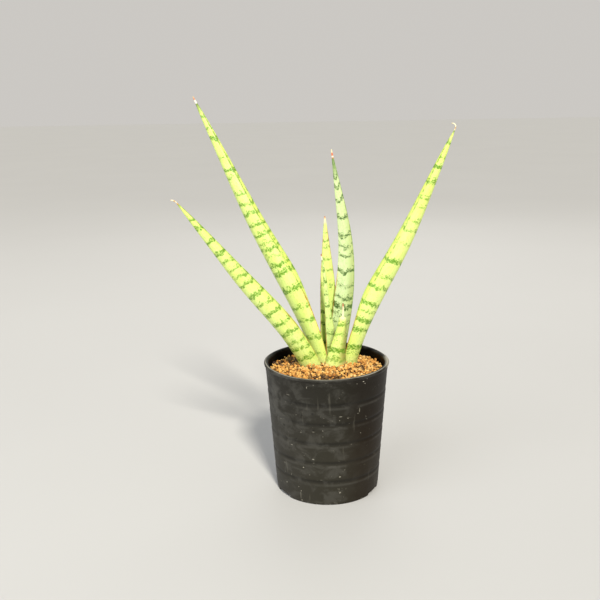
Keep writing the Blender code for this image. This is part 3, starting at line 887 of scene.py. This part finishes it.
def leafFinish(name, leaf):
    tone = leafTones[leaf["tone"]]
    finish, tree, shader = newFinish(name + "Skin")
    place = attribute(tree, "leafPlace")
    count, gap, force = parts(tree, attribute(tree, "leafBand"))
    fromRight, fromLeft, share = parts(tree, attribute(tree, "leafEdge"))
    fromTip, mottle, thickness = parts(tree, attribute(tree, "leafMark"))
    side, deep = parts(tree, place)[:2]

    # ground colour: paler on the outer face, with fine lengthwise streaks
    broad = noise(tree, stretched(tree, place, (1.0, 1.0, 0.45)), 0.11, 2.0)
    streaks = noise(tree, stretched(tree, place, (1.0, 1.0, 0.06)), 1.3, 3.0, 0.6)
    fine = noise(tree, stretched(tree, place, (1.0, 1.0, 0.5)), 2.6, 2.0, 0.6)
    outerFace = between(tree, deep, 1.5, -4.5)
    paleAmount = scaled(tree, outerFace, 0.55, scaled(tree, broad, 1.3, -0.55), clamp=True)
    colour = mix(tree, paleAmount, tone["base"], tone["pale"])
    colour = layered(tree, colour, between(tree, streaks, 0.42, 0.72), 0.18, tone["mid"])
    freckles = noise(tree, stretched(tree, place, (1.0, 1.0, 0.6), (5.0, 0.0, 11.0)), 1.15, 2.0, 0.6)
    colour = layered(tree, colour, between(tree, freckles, 0.52, 0.68), 0.30, tone["mid"])
    # painted shade darkening one side of the leaf
    if "tint" in leaf:
        towardsSide, sideShadeColour, amount = leaf["tint"]
        sideShade = between(tree, times(tree, side, towardsSide), -0.5, leaf["widths"][1] * 0.4)
        sideShade = times(tree, sideShade, scaled(tree, broad, 0.8, amount - 0.4), clamp=True)
        colour = mix(tree, sideShade, colour, sideShadeColour)

    # cross bands: one wavy line, its broken double, and specks
    wave = scaled(tree, noise(tree, place, 0.17, 1.0), 5.0, -2.5)
    jagged = noise(tree, stretched(tree, place, (1.0, 1.0, 0.35), (7.0, 3.0, 0.0)), 0.62, 1.0)
    jag = scaled(tree, jagged, 3.4, -1.7)
    jag = plus(tree, jag, scaled(tree, noise(tree, place, 1.1, 0.0), 0.5, -0.25))
    wander = maths(tree, "DIVIDE", plus(tree, wave, jag), gap)
    saw = minus(tree, maths(tree, "FRACT", plus(tree, plus(tree, count, wander), 0.5)), 0.5)
    away = times(tree, saw, gap)
    reach = sizeOf(tree, away)
    swell = scaled(tree, noise(tree, place, 0.5, 1.0), 2.6, 0.45)
    width = times(tree, thickness, swell)
    breaks = noise(tree, stretched(tree, place, (1.0, 1.0, 0.5), (0.0, 0.0, 31.0)), 0.42, 2.0)
    cover = minus(tree, 0.60, times(tree, force, 0.25))
    whole = between(tree, breaks, minus(tree, cover, 0.05), plus(tree, cover, 0.03))
    solid = between(tree, reach, plus(tree, width, 0.55), minus(tree, width, 0.15))
    firstLine = times(tree, solid, whole)
    offset = scaled(tree, noise(tree, place, 0.3, 1.0), 4.6, -0.4)
    besides = sizeOf(tree, minus(tree, away, offset))
    otherWidth = times(tree, width, 0.62)
    otherBreaks = noise(tree, stretched(tree, place, (1.0, 1.0, 0.6), (13.0, 0.0, 5.0)), 0.55, 1.0)
    otherSolid = between(tree, besides, plus(tree, otherWidth, 0.26), minus(tree, otherWidth, 0.12))
    otherLine = times(tree, otherSolid, between(tree, otherBreaks, 0.47, 0.55))
    near = between(tree, reach, scaled(tree, mottle, 3.0, 1.8), 0.4)
    specks = between(tree, noise(tree, place, 0.68, 1.0), 0.57, 0.66)
    specks = times(tree, times(tree, specks, near), scaled(tree, mottle, 0.8, 0.15), clamp=True)
    lines = larger(tree, firstLine, times(tree, otherLine, 0.85))
    lines = larger(tree, lines, specks)
    strokes = noise(tree, stretched(tree, place, (0.75, 0.75, 1.2), (0.0, 17.0, 0.0)), 0.8, 1.0)
    lines = times(tree, lines, scaled(tree, between(tree, strokes, 0.40, 0.52), 0.62, 0.38))
    lines = times(tree, lines, scaled(tree, force, 0.50, 0.55), clamp=True)
    halo = times(tree, between(tree, reach, 2.4, 0.2), times(tree, force, 0.34))
    halo = times(tree, halo, between(tree, broad, 0.30, 0.55))
    colour = mix(tree, halo, colour, tone["mid"])
    darkness = mix(tree, between(tree, fine, 0.35, 0.65), tone["dark"], tone["mid"])
    darkness = mix(tree, 0.55, darkness, tone["dark"])
    colour = mix(tree, lines, colour, darkness)

    # hard margins
    edgeBreaks = noise(tree, stretched(tree, place, (1.0, 1.0, 0.7), (3.0, 9.0, 0.0)), 0.5, 2.0)
    for distance, ranges in ((fromRight, leaf["margins"][0]), (fromLeft, leaf["margins"][1])):
        orangeFrom, orangeTo, greenFrom, greenTo = ranges
        line = between(tree, distance, scaled(tree, edgeBreaks, 1.0, 0.35), 0.15)
        warmStart = between(tree, share, orangeFrom - 0.02, orangeFrom + 0.02)
        warm = times(tree, warmStart, between(tree, share, orangeTo + 0.04, orangeTo - 0.02))
        coolStart = between(tree, share, greenFrom - 0.02, greenFrom + 0.04)
        cool = times(tree, coolStart, between(tree, share, greenTo + 0.02, greenTo - 0.02))
        pieces = between(tree, edgeBreaks, 0.40, 0.56)
        cool = times(tree, times(tree, line, cool), scaled(tree, pieces, 0.65, 0.1))
        colour = mix(tree, cool, colour, marginColours["green"])
        warm = times(tree, times(tree, line, warm), scaled(tree, pieces, 0.4, 0.5))
        colour = mix(tree, warm, colour, marginColours["orange"])

    # base near the granules, then the dried tip
    foot = between(tree, times(tree, share, leaf["length"]), 7.0, 0.0)
    colour = layered(tree, colour, foot, 0.35, (0.62, 0.60, 0.26))
    dry = colourRamp(tree, maths(tree, "DIVIDE", fromTip, 10.0), leaf["tip"])
    fade = between(tree, fromTip, 10.0 + leaf.get("tipFade", 0.0), 10.0) if "tipFade" in leaf else 1.0
    colour = mix(tree, times(tree, dry["Alpha"], fade), colour, dry["Color"])
    feed(tree, shader.inputs["Base Color"], colour)

    dried = between(tree, fromTip, 6.0, 2.0)
    rough = scaled(tree, streaks, 0.16, scaled(tree, dried, 0.25, 0.33))
    feed(tree, shader.inputs["Roughness"], rough)
    shader.inputs["Specular IOR Level"].default_value = 0.45
    shader.inputs["Subsurface Weight"].default_value = 0.12
    shader.inputs["Subsurface Radius"].default_value = (0.8, 1.0, 0.3)
    shader.inputs["Subsurface Scale"].default_value = 0.0015
    ribs = bump(tree, streaks, 0.30, 0.00035)
    relief = plus(tree, fine, times(tree, lines, 0.6))
    feed(tree, shader.inputs["Normal"], bump(tree, relief, 0.16, 0.0002, ribs))
    return finish


leafRings = []
for number, (name, leaf) in enumerate(leaves.items()):
    piece, points = makeLeaf(name, leaf, number)
    finishPiece(piece, leafFinish(name, leaf), leaf["slot"], leaf["stands"])
    leafRings.append(points)
    print(name + ":", len(piece.data.polygons), "faces")


# clay granules

dressing = {
    "mound": ((0.0, 0.0920), (0.0135, 0.0920), (0.0220, 0.0908), (0.0421, 0.0885)),
    "radius": 0.0421,
    "spacing": 0.00215,
    "grain": (0.00088, 0.00128),
    "shapes": 10,
    # patches of painted shade on the grains: at the front centre under the leaves and at the back left in the
    # shadow of the left leaves
    "shadedPatches": ((0.002, -0.030, 0.019, 0.009, 0.50), (-0.031, 0.017, 0.010, 0.013, 0.55)),
    "seed": 11,
    "layers": ((-0.0015, 1.0, 1.0), (-0.0003, 0.74, 1.08), (0.0006, 0.16, 1.3)),     # sink, keep, stretch
}


def surfaceHeight(radius):
    radii, heights = zip(*dressing["mound"])
    return np.interp(radius, radii, heights)


def makeBed():
    radii = np.linspace(0.0, dressing["radius"], 22)
    top = [(radius, float(surfaceHeight(radius)) - 0.0016) for radius in radii]
    profile = top + [(dressing["radius"] - 0.0004, 0.0829), (0.02, 0.0829), (0.0, 0.0829)]
    bed = turnedPiece("dressingBed", profile, 96)
    chance = np.random.default_rng(dressing["seed"])
    points = pointsOf(bed.data)
    raised = points[:, 2] > 0.0855
    points[raised, 2] += chance.uniform(-0.0004, 0.0003, raised.sum())
    movePoints(bed.data, points)
    smoothed(bed, 60)
    return bed


def grainShapes(chance):
    shapes = []
    for number in range(dressing["shapes"]):
        deselectAll()
        bpy.ops.mesh.primitive_ico_sphere_add(subdivisions=2, radius=1.0)
        grain = named("grainShape")
        points = pointsOf(grain.data)
        for cut in range(9):
            way = chance.normal(size=3)
            way /= np.linalg.norm(way)
            over = np.maximum(points @ way - chance.uniform(0.62, 0.92), 0.0)
            points -= over[:, None] * way
        points *= chance.uniform(0.78, 1.15, 3)
        movePoints(grain.data, points)
        fewer = grain.modifiers.new("fewer", "DECIMATE")
        fewer.ratio = 0.55
        bpy.ops.object.modifier_apply(modifier=fewer.name)
        mesh = grain.data
        mesh.calc_loop_triangles()
        faces = np.array([triangle.vertices[:] for triangle in mesh.loop_triangles])
        shapes.append((pointsOf(mesh), faces))
        bpy.data.objects.remove(grain, do_unlink=True)
    return shapes


def insideOutline(points, outline, grow):
    inside = np.zeros(len(points), bool)
    nearest = np.full(len(points), 1.0)
    following = np.roll(outline, -1, axis=0)
    for first, second in zip(outline, following):
        crosses = (first[1] > points[:, 1]) != (second[1] > points[:, 1])
        height = second[1] - first[1]
        slope = (second[0] - first[0]) / (height if abs(height) > 1e-12 else 1e-12)
        inside ^= crosses & (points[:, 0] < first[0] + slope * (points[:, 1] - first[1]))
        edge = second - first
        t = np.clip(((points - first) @ edge) / max(edge @ edge, 1e-15), 0.0, 1.0)
        nearest = np.minimum(nearest, np.linalg.norm(points - first - t[:, None] * edge, axis=1))
    return inside | (nearest < grow)


def grainPlaces(chance):
    spacing = dressing["spacing"]
    places = []
    for layer, (sink, keep, stretch) in enumerate(dressing["layers"]):
        gap = spacing * stretch
        reach = dressing["radius"]
        columns = np.arange(-reach, reach, gap)
        rows = np.arange(-reach, reach, gap * 0.87)
        for index, y in enumerate(rows):
            for x in columns + (gap / 2 if index % 2 else 0.0) + layer * gap / 3:
                places.append((x, y, sink, keep, layer))
    places = np.array(places)
    places[:, :2] += chance.normal(0.0, spacing * 0.22, (len(places), 2))
    radius = np.hypot(places[:, 0], places[:, 1])
    keepers = (radius < dressing["radius"] - 0.0007) & (chance.random(len(places)) < places[:, 3])
    places = places[keepers]
    height = surfaceHeight(radius[keepers]) + places[:, 2] + chance.normal(0.0, 0.00028, len(places))
    spots = np.stack([places[:, 0] + axisX, places[:, 1] + axisY, height], axis=1)
    clear = np.ones(len(spots), bool)
    for rings in leafRings:
        levels = rings[:, :, 2].mean(axis=1)
        outline = rings[int(np.argmin(np.abs(levels - 0.0912)))][:, :2]
        clear &= ~insideOutline(spots[:, :2], outline, 0.00055)
    return spots[clear], places[clear, 4]


def makeGrains():
    chance = np.random.default_rng(dressing["seed"] + 1)
    shapes = grainShapes(chance)
    spots, layers = grainPlaces(chance)
    allPoints, allFaces, allTones = [], [], []
    used = 0
    for spot, layer in zip(spots, layers):
        points, faces = shapes[chance.integers(len(shapes))]
        turn = np.array(Euler(chance.uniform(0.0, math.tau, 3)).to_matrix())
        size = chance.uniform(*dressing["grain"]) * (1.0 if chance.random() > 0.06 else 1.35)
        tone = chance.random()
        x, y = spot[0] - axisX, spot[1] - axisY
        dark = 0.0
        # painted shade: grains inside the shaded patches are darkened
        for middleX, middleY, wide, deep, amount in dressing["shadedPatches"]:
            if ((x - middleX) / wide) ** 2 + ((y - middleY) / deep) ** 2 < 1.0 and chance.random() < amount:
                dark = chance.uniform(0.7, 1.0)
        if chance.random() < 0.06:
            dark = chance.uniform(0.5, 1.0)
        # painted shade in the gaps: the lowest layer of grains is darkened
        if layer == 0:
            dark = max(dark, chance.uniform(0.45, 0.95))
        allPoints.append(points @ turn.T * size + spot)
        allFaces.append(faces + used)
        allTones.append(np.tile((tone, dark, chance.random()), (len(points), 1)))
        used += len(points)
    mesh = bpy.data.meshes.new("clayGranules")
    mesh.from_pydata(np.concatenate(allPoints).tolist(), [], np.concatenate(allFaces).tolist())
    mesh.update()
    vectorField(mesh, "grainToneAndShade", np.concatenate(allTones))
    grains = bpy.data.objects.new("clayGranules", mesh)
    bpy.context.scene.collection.objects.link(grains)
    smoothed(grains, 30)
    print("granules:", len(spots), "of them,", len(mesh.polygons), "faces")
    return grains


grainColours = (
    (0.0, (0.38, 0.15, 0.030)), (0.22, (0.60, 0.28, 0.060)), (0.50, (0.75, 0.41, 0.100)),
    (0.78, (0.78, 0.45, 0.125)), (1.0, (0.84, 0.58, 0.23)),
)


def grainFinish():
    finish, tree, shader = newFinish("firedClay")
    tone, dark = parts(tree, attribute(tree, "grainToneAndShade"))[:2]
    place = put(tree, "TexCoord").outputs["Object"]
    clay = colourRamp(tree, tone, grainColours)["Color"]
    pores = noise(tree, place, 1500.0, 3.0, 0.7)
    colour = layered(tree, clay, between(tree, pores, 0.35, 0.65), 0.35, (0.26, 0.10, 0.035))
    # darkened grains go near black: painted shade in patches and low down, plus some really dark grains
    colour = mix(tree, dark, colour, (0.030, 0.014, 0.012))
    feed(tree, shader.inputs["Base Color"], colour)
    feed(tree, shader.inputs["Roughness"], scaled(tree, pores, 0.2, 0.75))
    shader.inputs["Specular IOR Level"].default_value = 0.3
    feed(tree, shader.inputs["Normal"], bump(tree, pores, 0.5, 0.00025))
    return finish


def crumbFinish(name, light, dark, scale):
    finish, tree, shader = newFinish(name)
    place = put(tree, "TexCoord").outputs["Object"]
    lumps = put(tree, "TexVoronoi", {"Vector": place, "Scale": scale})
    tint = noise(tree, place, scale * 0.7, 4.0, 0.6)
    colour = mix(tree, between(tree, tint, 0.35, 0.65), dark, light)
    # painted shade in the gaps between lumps
    gapShade = tuple(part * 0.25 for part in dark)
    colour = mix(tree, between(tree, lumps.outputs["Distance"], 0.25, 0.75), colour, gapShade)
    feed(tree, shader.inputs["Base Color"], colour)
    shader.inputs["Roughness"].default_value = 0.92
    shader.inputs["Specular IOR Level"].default_value = 0.2
    feed(tree, shader.inputs["Normal"], bump(tree, lumps.outputs["Distance"], -0.8, 0.0012))
    return finish


bed = makeBed()
# the dark bed shows between the grains as painted shade in the gaps
bedFinish = crumbFinish("gapShadeBed", (0.16, 0.065, 0.022), (0.045, 0.020, 0.010), 620.0)
finishPiece(bed, bedFinish, "clay_granules", "top_dressing")
grains = makeGrains()
finishPiece(grains, grainFinish(), "clay_granules", "top_dressing")


# hidden pieces keep their frame shapes and get their own finishes

hiddenFinishes = {
    "potting_mix": ("darkMix", (0.075, 0.048, 0.030), (0.028, 0.018, 0.012), 420.0),
    "drainage_layer": ("pumiceStones", (0.55, 0.52, 0.45), (0.36, 0.33, 0.28), 190.0),
    "rhizome": ("paleRoot", (0.62, 0.42, 0.20), (0.42, 0.25, 0.10), 240.0),
}
for node, settings in hiddenFinishes.items():
    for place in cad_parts[node].material_slots:
        place.material = crumbFinish(*settings)
print("hidden pieces finished")
